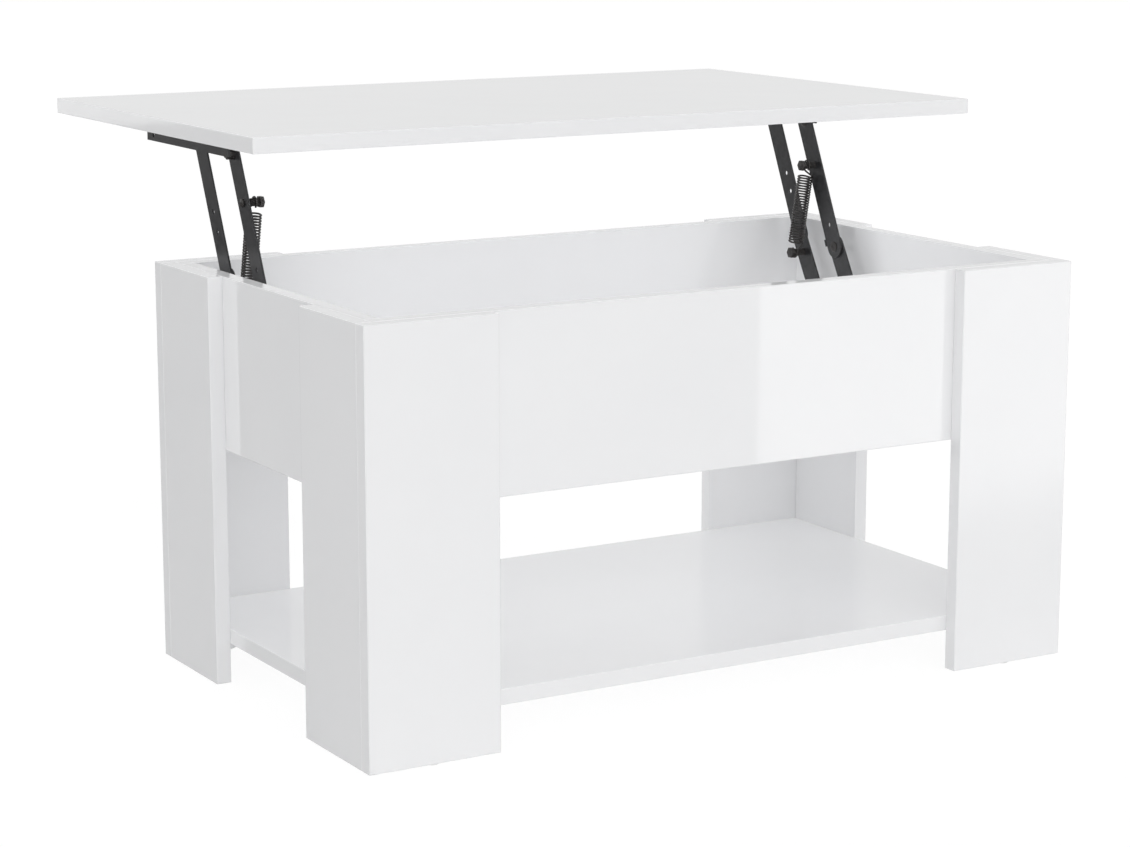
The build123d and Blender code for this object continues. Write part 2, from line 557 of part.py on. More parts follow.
# ---- Extension spring between the two bolts ----
def wire(start, end):
    """A straight run of spring wire with round ends."""
    run = rod(start, end - start, (end - start).length, SPRING_WIRE)
    return run + Pos(*start) * Sphere(SPRING_WIRE / 2) + Pos(*end) * Sphere(SPRING_WIRE / 2)


def extension_spring():
    """A close coil with a wire hook over the bolt at each end."""
    mean = (SPRING_DIAMETER - SPRING_WIRE) / 2
    coil_height = SPRING_LENGTH - 2 * HOOK_REACH
    turns = round(coil_height / SPRING_PITCH)
    path = Helix(coil_height / turns, coil_height, mean)
    section = Plane(origin=path @ 0, z_dir=path % 0) * Circle(SPRING_WIRE / 2)
    coil = Pos(0, 0, HOOK_REACH) * sweep(section, path=path, is_frenet=True)
    eye_radius = (SPRING_BOLT_DIAMETER + SPRING_WIRE) / 2 + FIT
    leaves_coil = Vector(mean, 0, HOOK_REACH + HOOK_SINK)
    meets_eye = Vector(0, eye_radius, HOOK_REACH - HOOK_BEND)
    hook = wire(leaves_coil, meets_eye) + wire(meets_eye, Vector(0, eye_radius, 0))
    eye_plane = Plane(origin=(0, 0, 0), x_dir=(0, 1, 0), z_dir=INWARD)
    hook += eye_plane * Torus(eye_radius, SPRING_WIRE / 2, major_angle=HOOK_TURN, align=Align.NONE)
    far_hook = Pos(0, 0, SPRING_LENGTH) * Rot(180, 0, 0) * hook
    axis = UPPER_BOLT - LOWER_BOLT
    place = Plane(origin=(SPRING_X, LOWER_BOLT.Y, LOWER_BOLT.Z), x_dir=OUTWARD, z_dir=axis)
    return place * (coil + hook + far_hook)


spring = extension_spring()
save("lift_spring_right", spring)
save("lift_spring_left", mirrored(spring))
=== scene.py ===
# %% [markdown]
# # A lift top coffee table in gloss white
# The table is flat-pack furniture: lacquered boards on four corner legs, and a top that
# swings up on two black steel linkages. The boards are already right in the solid
# model, so this lesson keeps them and gives them their finish. It models by hand what
# the solids can only hint at: wound springs, rivets, bolts, cam locks and glides.

import json
from math import cos, pi, radians, sin

import bmesh
import bpy
from mathutils import Matrix, Vector


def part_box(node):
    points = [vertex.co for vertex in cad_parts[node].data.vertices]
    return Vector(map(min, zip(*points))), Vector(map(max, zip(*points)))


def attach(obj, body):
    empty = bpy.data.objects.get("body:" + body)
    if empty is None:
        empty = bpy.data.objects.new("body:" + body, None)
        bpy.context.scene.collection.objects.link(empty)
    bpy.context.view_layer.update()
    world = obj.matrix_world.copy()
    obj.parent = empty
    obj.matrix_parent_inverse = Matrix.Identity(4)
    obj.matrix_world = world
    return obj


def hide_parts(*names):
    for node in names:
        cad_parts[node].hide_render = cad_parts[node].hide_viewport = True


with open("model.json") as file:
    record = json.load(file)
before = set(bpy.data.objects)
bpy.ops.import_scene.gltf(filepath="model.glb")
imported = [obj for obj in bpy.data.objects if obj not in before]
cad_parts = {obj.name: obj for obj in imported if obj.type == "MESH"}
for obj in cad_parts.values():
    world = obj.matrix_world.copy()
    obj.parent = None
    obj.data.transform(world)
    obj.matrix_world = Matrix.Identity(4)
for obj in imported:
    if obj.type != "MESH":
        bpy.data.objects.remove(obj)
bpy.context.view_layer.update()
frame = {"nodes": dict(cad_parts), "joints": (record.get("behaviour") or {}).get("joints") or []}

# %% [markdown]
# ## The camera
# A table catalogue uses a long lens, so that the edges stay nearly parallel. The camera
# circles a point inside the box: an angle round it, an angle above it and a distance
# say everything, and they are easier to adjust than a position and three rotations.

# %% Set the camera
CAMERA_AIM = Vector((0.0106, 0.135, 0.2742))
CAMERA_DISTANCE = 3.7197
CAMERA_ROUND = radians(30.55)
CAMERA_ABOVE = radians(11.25)
LENS_MM = 91.98
SENSOR_MM = 36

scene = bpy.context.scene


def add_object(name, data):
    """Link a new object with this data into the scene."""
    made = bpy.data.objects.new(name, data)
    scene.collection.objects.link(made)
    return made


camera_data = bpy.data.cameras.new("catalogue_camera")
camera_data.lens = LENS_MM
camera_data.sensor_width = SENSOR_MM
camera = add_object("catalogue_camera", camera_data)
towards = Vector(
    (
        cos(CAMERA_ABOVE) * sin(CAMERA_ROUND),
        cos(CAMERA_ABOVE) * cos(CAMERA_ROUND),
        -sin(CAMERA_ABOVE),
    )
)
camera.location = CAMERA_AIM - towards * CAMERA_DISTANCE
camera.rotation_euler = towards.to_track_quat("-Z", "Y").to_euler()
scene.camera = camera
scene.view_settings.view_transform = "Standard"
print("camera at", [round(c, 3) for c in camera.location])

# %% [markdown]
# ## The studio
# White gloss furniture stands on an endless white floor. Under a plain white sky the
# floor would look grey, so what is seen has to differ from what lights the boards. A
# Light Path node tells the two apart: a ray from a camera, a mirror or glass is seen,
# and any other ray only carries light. Small helpers write such node trees in a few
# words.

# %% Tell the seen rays from the light
FLOOR_WHITE_SHARE = 0.8


def new_material(name):
    """A node material with nothing in it but its output."""
    material = bpy.data.materials.new(name)
    material.use_nodes = True
    material.node_tree.nodes.clear()
    material.node_tree.nodes.new("ShaderNodeOutputMaterial").name = "out"
    return material


def feed(tree, value, socket):
    """Give a socket its value: another socket, a number or a vector."""
    if isinstance(value, bpy.types.NodeSocket):
        tree.links.new(value, socket)
    else:
        socket.default_value = value


def maths(tree, operation, *values):
    """A Math node; each value is a socket or a number."""
    node = tree.nodes.new("ShaderNodeMath")
    node.operation = operation
    for value, socket in zip(values, node.inputs):
        feed(tree, value, socket)
    return node.outputs[0]


def seen_ray(tree):
    """1 for camera, mirror and glass rays, and 0 for the light that bounces."""
    path = tree.nodes.new("ShaderNodeLightPath").outputs
    either = maths(tree, "MAXIMUM", path["Is Camera Ray"], path["Is Glossy Ray"])
    return maths(tree, "MAXIMUM", either, path["Is Transmission Ray"])


floor_material = new_material("floor_paper")
tree = floor_material.node_tree
white_share = maths(tree, "MULTIPLY", seen_ray(tree), FLOOR_WHITE_SHARE)
print("a seen ray meets", FLOOR_WHITE_SHARE, "of pure white")

# %% [markdown]
# The floor is a sheet of matt paper, mixed with pure white where it is seen. A fifth of
# the paper stays in the mix and keeps a faint shadow under the table. From below the
# floor is clear, so that the underside of the table can be looked at too.

# %% Build the endless floor
FLOOR_HALF_SIZE = 60.0
FLOOR_PAPER = (0.86, 0.86, 0.86)
FLOOR_WHITE = 1.07


def finished_mesh(name, bm):
    """Turn a bmesh into a mesh, and free it."""
    mesh = bpy.data.meshes.new(name)
    bm.to_mesh(mesh)
    bm.free()
    return mesh


def mix_shaders(tree, share, first, second):
    """Mix two shader nodes: a share of 0 gives the first, 1 the second."""
    node = tree.nodes.new("ShaderNodeMixShader")
    tree.links.new(share, node.inputs[0])
    tree.links.new(first.outputs[0], node.inputs[1])
    tree.links.new(second.outputs[0], node.inputs[2])
    return node


def show(tree, shader):
    """Make a shader node the surface of a material."""
    tree.links.new(shader.outputs[0], tree.nodes["out"].inputs["Surface"])


bm = bmesh.new()
bmesh.ops.create_grid(bm, x_segments=1, y_segments=1, size=FLOOR_HALF_SIZE)
floor = add_object("studio_floor", finished_mesh("studio_floor", bm))

paper = tree.nodes.new("ShaderNodeBsdfDiffuse")
paper.inputs["Color"].default_value = (*FLOOR_PAPER, 1)
white = tree.nodes.new("ShaderNodeEmission")
white.inputs["Strength"].default_value = FLOOR_WHITE
upper_side = mix_shaders(tree, white_share, paper, white)
from_below = tree.nodes.new("ShaderNodeNewGeometry").outputs["Backfacing"]
clear = tree.nodes.new("ShaderNodeBsdfTransparent")
show(tree, mix_shaders(tree, from_below, upper_side, clear))
floor.data.materials.append(floor_material)
print("floor of", 2 * FLOOR_HALF_SIZE, "m")

# %% [markdown]
# The sky is a light grey and follows the same rule. It is seen at full strength, and
# lights the boards at a little over half of that, because the walls that come next add
# light of their own.

# %% Build the sky
SKY_GREY = (0.8, 0.8, 0.8)
SKY_LIGHT = 0.60
SKY_SEEN = 1.0


def spread(tree, value, low, high, to_low, to_high, smooth=False):
    """Map a value's range to another one, and hold it there."""
    node = tree.nodes.new("ShaderNodeMapRange")
    node.clamp = True
    node.interpolation_type = "SMOOTHSTEP" if smooth else "LINEAR"
    feed(tree, value, node.inputs["Value"])
    feed(tree, low, node.inputs["From Min"])
    feed(tree, high, node.inputs["From Max"])
    feed(tree, to_low, node.inputs["To Min"])
    feed(tree, to_high, node.inputs["To Max"])
    return node.outputs["Result"]


world = bpy.data.worlds.new("studio_sky")
scene.world = world
world.use_nodes = True
tree = world.node_tree
tree.nodes.clear()
sky_out = tree.nodes.new("ShaderNodeOutputWorld")
sky = tree.nodes.new("ShaderNodeBackground")
sky.inputs["Color"].default_value = (*SKY_GREY, 1)
strength = spread(tree, seen_ray(tree), 0, 1, SKY_LIGHT, SKY_SEEN)
tree.links.new(strength, sky.inputs["Strength"])
tree.links.new(sky.outputs[0], sky_out.inputs["Surface"])
print("grey sky seen at", SKY_SEEN, "and shining at", SKY_LIGHT)

# %% [markdown]
# White rooms have no deep shadow: every wall sends light back on the table. One weak
# sun stands for each wall, and they are calmer than a room of real walls. The walls
# along the long sides are close, so their suns are wide, and they cast the soft shade
# that gathers between the legs and in the box. The others only fill, so they cast no
# shadow.

# %% Add the light of the white walls
# For each wall: the way it shines, its power, its width in degrees, and its shadow.
WALL_LIGHTS = {
    "behind_the_reader": (towards, 0.43, 20, False),
    "long_side_near": (Vector((0, 1, 0)), 1.33, 100, True),
    "long_side_far": (Vector((0, -1, 0)), 1.00, 100, True),
    "end_left": (Vector((1, 0, 0)), 0.24, 20, False),
    "end_right": (Vector((-1, 0, 0)), 0.25, 20, False),
    "ceiling": (Vector((0, 0, -1)), 0.76, 20, False),
}

for name, (shines, power, width, shadow) in WALL_LIGHTS.items():
    wall_data = bpy.data.lights.new(name, "SUN")
    wall_data.energy = power
    wall_data.angle = radians(width)
    wall_data.use_shadow = shadow
    wall = add_object(name, wall_data)
    wall.rotation_euler = shines.to_track_quat("-Z", "Y").to_euler()
    wall.visible_glossy = False
print(len(WALL_LIGHTS), "walls shine")

# %% [markdown]
# The raised top shades the storage box, where a white room would still look bright. Two
# small round lamps hang in the middle of the box, out of the camera's sight. When the
# top is down they are shut in, and do nothing.

# %% Hang the box lamps
BOX_LAMP_POWER = 0.20
BOX_LAMP_RADIUS = 0.08
BOX_LAMP_SHARES = {"box_lamp_right": 0.5, "box_lamp_left": -0.5}

panel_low, panel_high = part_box("box_right_panel")
for name, share_of_half_length in BOX_LAMP_SHARES.items():
    lamp_data = bpy.data.lights.new(name, "POINT")
    lamp_data.energy = BOX_LAMP_POWER
    lamp_data.shadow_soft_size = BOX_LAMP_RADIUS
    lamp = add_object(name, lamp_data)
    lamp.location.x = panel_low.x * share_of_half_length
    lamp.location.z = (panel_low.z + panel_high.z) / 2
    lamp.visible_camera = False
    lamp.visible_glossy = False
    print(name, "at", [round(c, 3) for c in lamp.location])

# %% [markdown]
# Gloss boards and black steel show what they mirror, so a studio shapes the mirrored
# room with things that give no light of their own. Here that is a flat glowing sheet
# that only mirrors see: it can stand in front of the camera or under the light and
# change neither.
#
# A black cloth on the floor at the left end keeps the end panel and the steel deep in
# tone, so that the pale leg edge is mirrored as a band beside itself. It begins just
# under the leg: any gap would be mirrored as a light strip along the leg's foot.

# %% Lay the black cloth
CLOTH_REACH = 4.0
CLOTH_NEAR = -1.0
CLOTH_FAR = 7.0
CLOTH_ABOVE_FLOOR = 0.002
CLOTH_GLOW = 0.02
CLOTH_UNDER_LEG = 0.010


def mirrored_sheet(name, corners, glow_strength):
    """A flat sheet, given by its corners in order. Returns its tree and its glow."""
    bm = bmesh.new()
    bm.faces.new([bm.verts.new(corner) for corner in corners])
    sheet = add_object(name, finished_mesh(name, bm))
    material = new_material(f"{name}_glow")
    glow = material.node_tree.nodes.new("ShaderNodeEmission")
    glow.inputs["Strength"].default_value = glow_strength
    show(material.node_tree, glow)
    sheet.data.materials.append(material)
    sheet.visible_camera = False
    sheet.visible_diffuse = False
    sheet.visible_shadow = False
    sheet.visible_transmission = False
    print(name, "mirrored at", glow_strength)
    return material.node_tree, glow


cloth_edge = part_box("back_left_leg_return")[0].x + CLOTH_UNDER_LEG
mirrored_sheet(
    "black_cloth",
    [
        (cloth_edge - CLOTH_REACH, CLOTH_NEAR, CLOTH_ABOVE_FLOOR),
        (cloth_edge, CLOTH_NEAR, CLOTH_ABOVE_FLOOR),
        (cloth_edge, CLOTH_FAR, CLOTH_ABOVE_FLOOR),
        (cloth_edge - CLOTH_REACH, CLOTH_FAR, CLOTH_ABOVE_FLOOR),
    ],
    CLOTH_GLOW,
)

# %% [markdown]
# A bright card on the right draws the calm highlight on the long panel and the right
# leg: its upright edge is the edge of that highlight. Its glow fades into the floor's
# at its foot, so the highlight dies away down the leg. Slats send the glow upwards
# only, so the shelf and the top, which mirror what is above them, never show the card.

# %% Set the mirror card
CARD_LEFT = 0.375
CARD_RIGHT = 1.30
CARD_TOP = 0.45
CARD_AWAY = -0.76
CARD_GLOW = 2.6
CARD_FOOT_GLOW = 1.0
CARD_FADE_HEIGHT = 0.15


def object_place(tree):
    """The point in the piece's own coordinates."""
    return tree.nodes.new("ShaderNodeTexCoord").outputs["Object"]


def axes(tree, vector):
    """The three parts of a vector."""
    node = tree.nodes.new("ShaderNodeSeparateXYZ")
    tree.links.new(vector, node.inputs[0])
    return node.outputs


tree, card_glow = mirrored_sheet(
    "mirror_card",
    [
        (CARD_LEFT, CARD_AWAY, 0),
        (CARD_RIGHT, CARD_AWAY, 0),
        (CARD_RIGHT, CARD_AWAY, CARD_TOP),
        (CARD_LEFT, CARD_AWAY, CARD_TOP),
    ],
    CARD_GLOW,
)
height = axes(tree, object_place(tree))["Z"]
fade = spread(tree, height, 0, CARD_FADE_HEIGHT, CARD_FOOT_GLOW, CARD_GLOW, smooth=True)
tree.links.new(fade, card_glow.inputs["Strength"])
sight = tree.nodes.new("ShaderNodeNewGeometry").outputs["Incoming"]
from_above = maths(tree, "GREATER_THAN", axes(tree, sight)["Z"], 0)
clear = tree.nodes.new("ShaderNodeBsdfTransparent")
show(tree, mix_shaders(tree, from_above, clear, card_glow))
print("card fades over", CARD_FADE_HEIGHT, "m")

# %% [markdown]
# ## Gloss white lacquer
# The boards are fibreboard under a sprayed high-gloss lacquer. Three things tell it
# from white plastic: the lacquer lies in very shallow waves, it has a fine orange peel,
# and its polish is a little dulled in patches where it was wiped. All three follow the
# board, so they come from object coordinates in one node group that every board shares.

# %% Make the lacquer's skin
WAVES_PER_METRE = 9.0
PEEL_PER_METRE = 420.0
PEEL_SHARE = 0.012
PATCHES_PER_METRE = 5.0
WIPES_PER_METRE = 60.0
FULLY_WIPED = 0.6
# Where the noise starts to count in a mask, and where it counts in full.
WIPED_PATCHES = (0.45, 0.75)
TONE_PATCHES = (0.3, 0.7)


def new_group(name, inputs, outputs):
    """A shader node group with named sockets: its tree and its two end nodes."""
    group = bpy.data.node_groups.new(name, "ShaderNodeTree")
    for socket, kind, default in inputs:
        made = group.interface.new_socket(socket, in_out="INPUT", socket_type=kind)
        made.default_value = default
    for socket, kind in outputs:
        group.interface.new_socket(socket, in_out="OUTPUT", socket_type=kind)
    return group, group.nodes.new("NodeGroupInput"), group.nodes.new("NodeGroupOutput")


def noise(tree, vector, scale, detail, rough=0.5):
    """Noise with about this many lumps in a metre."""
    node = tree.nodes.new("ShaderNodeTexNoise")
    node.inputs["Scale"].default_value = scale
    node.inputs["Detail"].default_value = detail
    node.inputs["Roughness"].default_value = rough
    tree.links.new(vector, node.inputs["Vector"])
    return node.outputs["Fac"]


lacquer_skin, skin_in, skin_out = new_group(
    "lacquer_skin",
    [
        ("Vector", "NodeSocketVector", (0, 0, 0)),
        ("Polish", "NodeSocketFloat", 0.06),
        ("Wiped", "NodeSocketFloat", 0.1),
    ],
    [
        ("Roughness", "NodeSocketFloat"),
        ("Height", "NodeSocketFloat"),
        ("Tone", "NodeSocketFloat"),
    ],
)
tree = lacquer_skin
point = skin_in.outputs["Vector"]
waves = noise(tree, point, WAVES_PER_METRE, detail=1.0)
peel = noise(tree, point, PEEL_PER_METRE, detail=1.0)
patches = noise(tree, point, PATCHES_PER_METRE, detail=3.0, rough=0.6)
wipes = noise(tree, point, WIPES_PER_METRE, detail=3.0, rough=0.6)
shallow_peel = maths(tree, "MULTIPLY", peel, PEEL_SHARE)
height = maths(tree, "MULTIPLY_ADD", waves, 1.0, shallow_peel)
tree.links.new(height, skin_out.inputs["Height"])
wiped_here = spread(tree, patches, *WIPED_PATCHES, 0.0, 1.0)
dull = maths(tree, "MULTIPLY", wiped_here, wipes)
polish, wiped = skin_in.outputs["Polish"], skin_in.outputs["Wiped"]
rough = spread(tree, dull, 0.0, FULLY_WIPED, polish, wiped)
tree.links.new(rough, skin_out.inputs["Roughness"])
tone = spread(tree, patches, *TONE_PATCHES, 0.0, 1.0)
tree.links.new(tone, skin_out.inputs["Tone"])
print("lacquer skin has", len(tree.nodes), "nodes")

# %% [markdown]
# The narrow edges are covered with a separate strip. Its glue line shows as a hair-fine
# grey seam that runs round each wide face, just inside the edge. The group below finds
# it from the board's own middle and half size: a point is on the seam when its distance
# from one edge is the strip's thickness while it lies on a face that looks another way.

# %% Make the edge strip's seam
STRIP_THICKNESS = 0.0009
SEAM_HALF_WIDTH = 0.00012


def vector_maths(tree, operation, *values):
    """A Vector Math node; each value is a socket or a vector."""
    node = tree.nodes.new("ShaderNodeVectorMath")
    node.operation = operation
    for value, socket in zip(values, node.inputs):
        feed(tree, value, socket)
    return node.outputs


edge_seam, seam_in, seam_out = new_group(
    "edge_seam",
    [
        ("Vector", "NodeSocketVector", (0, 0, 0)),
        ("Middle", "NodeSocketVector", (0, 0, 0)),
        ("Half", "NodeSocketVector", (1, 1, 1)),
        ("Thin", "NodeSocketVector", (0, 0, 1)),
    ],
    [("Seam", "NodeSocketFloat")],
)
tree = edge_seam
names = ("Vector", "Middle", "Half", "Thin")
point, middle, half, thin = [seam_in.outputs[name] for name in names]
apart = vector_maths(tree, "SUBTRACT", point, middle)[0]
away = vector_maths(tree, "ABSOLUTE", apart)[0]
depth = axes(tree, vector_maths(tree, "SUBTRACT", half, away)[0])
flat = axes(tree, thin)
lines = []
for axis in range(3):
    off = maths(tree, "SUBTRACT", depth[axis], STRIP_THICKNESS)
    line = spread(tree, maths(tree, "ABSOLUTE", off), 0.0, SEAM_HALF_WIDTH, 1.0, 0.0)
    wide = maths(tree, "SUBTRACT", 1.0, flat[axis])
    lines.append(maths(tree, "MULTIPLY", line, wide))
two_lines = maths(tree, "MAXIMUM", lines[0], lines[1])
tree.links.new(maths(tree, "MAXIMUM", two_lines, lines[2]), seam_out.inputs["Seam"])
print("edge seam has", len(tree.nodes), "nodes")

# %% [markdown]
# Every finish of the table is two colours mixed by a mask, a roughness, and a height
# that a Bump node turns into relief. One helper mixes the colours and one puts it
# together. Relief as real geometry would need millions of faces for grain that is
# hardly seen.

# %% Put a finish together
def place_group(tree, group, vector, **values):
    """Place a node group at a point, and set its inputs by name."""
    node = tree.nodes.new("ShaderNodeGroup")
    node.node_tree = group
    tree.links.new(vector, node.inputs["Vector"])
    for name, value in values.items():
        node.inputs[name].default_value = value
    return node.outputs


def mix_colour(tree, mask, first, second):
    """Mix two colours, each a triple or a socket, by a mask."""
    node = tree.nodes.new("ShaderNodeMix")
    node.data_type = "RGBA"
    tree.links.new(mask, node.inputs["Factor"])
    for socket, value in ((node.inputs[6], first), (node.inputs[7], second)):
        feed(tree, (*value, 1) if isinstance(value, tuple) else value, socket)
    return node.outputs[2]


def finish(tree, colour, rough, height, relief, strength):
    """Show a Principled shader with this look, and return its inputs."""
    bump = tree.nodes.new("ShaderNodeBump")
    bump.inputs["Distance"].default_value = relief
    bump.inputs["Strength"].default_value = strength
    tree.links.new(height, bump.inputs["Height"])
    shader = tree.nodes.new("ShaderNodeBsdfPrincipled")
    tree.links.new(colour, shader.inputs["Base Color"])
    tree.links.new(rough, shader.inputs["Roughness"])
    tree.links.new(bump.outputs[0], shader.inputs["Normal"])
    show(tree, shader)
    return shader.inputs


print("a finish is a Principled shader with a Bump node")

# %% [markdown]
# Each board has its own lacquer, because the seam needs the board's size. The function
# reads it from the frame, so a board that changes in the solid model brings its seam
# along.

# %% Mix the lacquer of one board
LACQUER_WHITE = (0.86, 0.862, 0.87)
LACQUER_SHADE = (0.845, 0.848, 0.858)
LACQUER_POLISH = 0.045
LACQUER_WIPED = 0.075
LACQUER_RELIEF = 0.00025
LACQUER_RELIEF_STRENGTH = 0.35
LACQUER_IOR = 1.5
SEAM_GREY = (0.62, 0.62, 0.62)


def board_lacquer(name):
    """Gloss white lacquer with the seams of one board."""
    low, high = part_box(name)
    half = (high - low) / 2
    thinnest = min(range(3), key=lambda axis: half[axis])
    thin = [1.0 if axis == thinnest else 0.0 for axis in range(3)]
    material = new_material(f"lacquer_{name}")
    tree = material.node_tree
    point = object_place(tree)
    skin = place_group(
        tree, lacquer_skin, point, Polish=LACQUER_POLISH, Wiped=LACQUER_WIPED
    )
    seam = place_group(
        tree, edge_seam, point, Middle=(low + high) / 2, Half=half, Thin=thin
    )
    colour = mix_colour(tree, skin["Tone"], LACQUER_WHITE, LACQUER_SHADE)
    colour = mix_colour(tree, seam["Seam"], colour, SEAM_GREY)
    relief = (skin["Height"], LACQUER_RELIEF, LACQUER_RELIEF_STRENGTH)
    shader = finish(tree, colour, skin["Roughness"], *relief)
    shader["IOR"].default_value = LACQUER_IOR
    return material


print("lacquer bends light by", LACQUER_IOR)

# %% [markdown]
# The solid model's boards stay in the picture, so they only need the finish. It is set
# on the object and not on its mesh, so that the solid model's mesh stays as it came.

# %% Lacquer the boards
def dress(node_name, material):
    """Give a solid of the frame its finish."""
    for material_slot in frame["nodes"][node_name].material_slots:
        material_slot.link = "OBJECT"
        material_slot.material = material


legs = [
    f"{end}_{side}_leg_{part}"
    for end in ("back", "front")
    for side in ("left", "right")
    for part in ("face", "return")
]
panels = [f"box_{side}_panel" for side in ("back", "front", "left", "right")]
boards = ["table_top", *panels, "box_floor", "lower_shelf", *legs]
for name in boards:
    dress(name, board_lacquer(name))
print(len(boards), "boards lacquered")

# %% [markdown]
# ## Black powder coat
# The linkage is punched from steel strip and powder coated. Powder melts to a satin
# skin with a fine pebbled texture, and it rubs through to grey where plates slide on
# each other: in a ring round each pivot. One group makes the pebbles for all the
# plates.

# %% Make the powder coat
PEBBLES_PER_METRE = 1400.0
LUMPS_PER_METRE = 160.0
LUMP_SHARE = 0.4
POWDER_SATIN = 0.32
POWDER_DULL = 0.46
DULL_LUMPS = (0.3, 0.7)
TONE_LUMPS = (0.35, 0.65)

powder_skin, powder_in, powder_out = new_group(
    "powder_skin",
    [("Vector", "NodeSocketVector", (0, 0, 0))],
    [
        ("Roughness", "NodeSocketFloat"),
        ("Height", "NodeSocketFloat"),
        ("Tone", "NodeSocketFloat"),
    ],
)
tree = powder_skin
point = powder_in.outputs["Vector"]
pebbles = noise(tree, point, PEBBLES_PER_METRE, detail=2.0)
lumps = noise(tree, point, LUMPS_PER_METRE, detail=3.0, rough=0.6)
height = maths(tree, "MULTIPLY_ADD", lumps, LUMP_SHARE, pebbles)
rough = spread(tree, lumps, *DULL_LUMPS, POWDER_SATIN, POWDER_DULL)
tone = spread(tree, lumps, *TONE_LUMPS, 0.0, 1.0)
tree.links.new(height, powder_out.inputs["Height"])
tree.links.new(rough, powder_out.inputs["Roughness"])
tree.links.new(tone, powder_out.inputs["Tone"])
print("powder skin has", len(tree.nodes), "nodes")

# %% [markdown]
# A second group makes the rings, because they need the pivots' places and the pebbles
# don't. It measures the distance from the pivot's line, which runs along X, and breaks
# the ring up with scuffs, since a clean ring would look painted on.

# %% Make the rubbed ring
SCUFFS_PER_METRE = 700.0
SCUFFED = (0.5, 0.72)
# Shares of the ring's radius.
RING_FULL = 0.85
RING_GONE = 1.1

rub_ring, ring_in, ring_out = new_group(
    "rub_ring",
    [
        ("Vector", "NodeSocketVector", (0, 0, 0)),
        ("Pivot", "NodeSocketVector", (0, 0, 0)),
        ("Radius", "NodeSocketFloat", 0.01),
    ],
    [("Rubbed", "NodeSocketFloat")],
)
tree = rub_ring
point = ring_in.outputs["Vector"]
apart = vector_maths(tree, "SUBTRACT", point, ring_in.outputs["Pivot"])[0]
in_plate = vector_maths(tree, "MULTIPLY", apart, (0, 1, 1))[0]
away = vector_maths(tree, "LENGTH", in_plate)["Value"]
scuffs = noise(tree, point, SCUFFS_PER_METRE, detail=4.0, rough=0.7)
share_of_radius = maths(tree, "DIVIDE", away, ring_in.outputs["Radius"])
ring = spread(tree, share_of_radius, RING_FULL, RING_GONE, 1.0, 0.0)
scuffed_here = spread(tree, scuffs, *SCUFFED, 0.0, 1.0)
rubbed = maths(tree, "MULTIPLY", ring, scuffed_here)
tree.links.new(rubbed, ring_out.inputs["Rubbed"])
print("rubbed ring has", len(tree.nodes), "nodes")

# %% [markdown]
# The rings sit round the pivots, and the springs run between two bolts. Most of these
# places are the joints' own anchors, so nothing is measured twice. The rear arm is as
# long as the front one and parallel to it, which gives its upper pivot.

# %% Find the pivots
anchors = {joint["name"]: Vector(joint["pos_m"]) for joint in frame["joints"]}
front_low = anchors["lift"]
rear_low = anchors["rear_arm_right_swing"]
front_high = anchors["top_level"]
rear_high = rear_low + front_high - front_low
lower_bolt = anchors["spring_right_swing"]
bolt_low, bolt_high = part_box("upper_spring_bolt_right")
upper_bolt = Vector((0, (bolt_low.y + bolt_high.y) / 2, (bolt_low.z + bolt_high.z) / 2))
print("spring from", lower_bolt[:], "to", upper_bolt[:])

# %% [markdown]
# The powder coat of a plate is named after the plate, with a ring for each of its two
# pivots. A maximum joins the rings: each point is as rubbed as the nearer ring says.

# %% Coat the linkage
POWDER_BLACK = (0.018, 0.018, 0.019)
POWDER_WORN = (0.034, 0.034, 0.036)
POWDER_RELIEF = 0.00006
POWDER_RELIEF_STRENGTH = 0.6
BARE_STEEL = (0.13, 0.13, 0.135)
BARE_STEEL_METALLIC = 0.8
RUB_RADIUS = 0.0105


def powder_coat(name, first_pivot, second_pivot):
    """Satin black powder coat, rubbed round the two pivots of one plate."""
    material = new_material(name)
    tree = material.node_tree
    point = object_place(tree)
    skin = place_group(tree, powder_skin, point)
    colour = mix_colour(tree, skin["Tone"], POWDER_BLACK, POWDER_WORN)
    rings = [
        place_group(tree, rub_ring, point, Pivot=pivot, Radius=RUB_RADIUS)["Rubbed"]
        for pivot in (first_pivot, second_pivot)
    ]
    rubbed = maths(tree, "MAXIMUM", *rings)
    colour = mix_colour(tree, rubbed, colour, BARE_STEEL)
    relief = (skin["Height"], POWDER_RELIEF, POWDER_RELIEF_STRENGTH)
    shader = finish(tree, colour, skin["Roughness"], *relief)
    metal = maths(tree, "MULTIPLY", rubbed, BARE_STEEL_METALLIC)
    tree.links.new(metal, shader["Metallic"])
    return material


plate_pivots = {
    "lower_bracket": ("bracket", front_low, rear_low),
    "top_hanger": ("hanger", front_high, rear_high),
    "front_arm": ("front_arm", front_low, front_high),
    "rear_arm": ("rear_arm", rear_low, rear_high),
}
for plate_name, (coat_name, *pivots) in plate_pivots.items():
    coat = powder_coat(f"{coat_name}_powder_coat", *pivots)
    for side in ("left", "right"):
        dress(f"{plate_name}_{side}", coat)
    print(plate_name, "coated with", coat.name)

# %% [markdown]
# ## Bare metal, wood and nylon
# Screws and cams are zinc plated: pale, a little blue, mottled where they were tumbled.
# Spring wire, bolts and rivets are steel under black oxide, with a faint bronze tint
# where it catches light. Dowels are beech, and the glides are waxy nylon. All of them
# are fine noise between two tones, and only the beech's is stretched into flecks.

